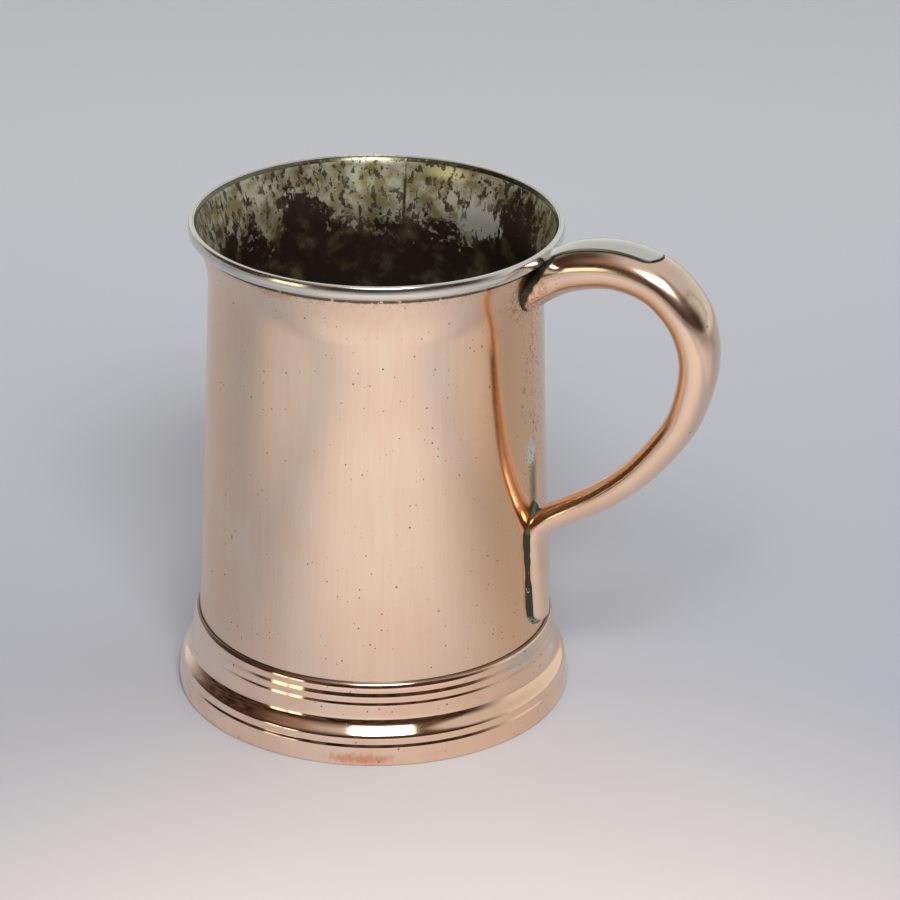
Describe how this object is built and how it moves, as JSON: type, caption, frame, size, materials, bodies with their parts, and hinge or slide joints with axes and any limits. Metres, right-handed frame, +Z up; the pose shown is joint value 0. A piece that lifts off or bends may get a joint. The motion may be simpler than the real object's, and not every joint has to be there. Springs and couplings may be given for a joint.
{
  "type": "tankard",
  "caption": "Copper tankard with a seamed, tapered barrel, flared lip, tinned rim moulding, spun foot and hollow looped handle, for drinking from and measuring by.",
  "frame": {"origin": "bottom centre of the bounding box, on the plane that the foot stands on; the barrel's axis stands 24.4 mm to the -X side of it", "axes": "+Z up along the barrel, +X towards the handle, +Y across the handle's plane, which is the plane of symmetry"},
  "size_m": [0.1724, 0.1236, 0.16],
  "materials": {
    "barrel_copper": "satin polished copper",
    "polished_copper": "bright polished copper",
    "tinned_trim": "polished tin",
    "tinned_floor": "worn tin",
    "solder": "dull soft solder"
  },
  "bodies": {
    "root": {"barrel": "barrel_copper", "rim_moulding": "tinned_trim", "floor_disc": "tinned_floor", "floor_solder": "solder", "foot_moulding": "polished_copper", "foot_solder": "solder", "handle": "polished_copper", "thumb_plate": "tinned_trim", "root_solder": "solder", "tail_solder": "solder"}
  },
  "joints": []
}
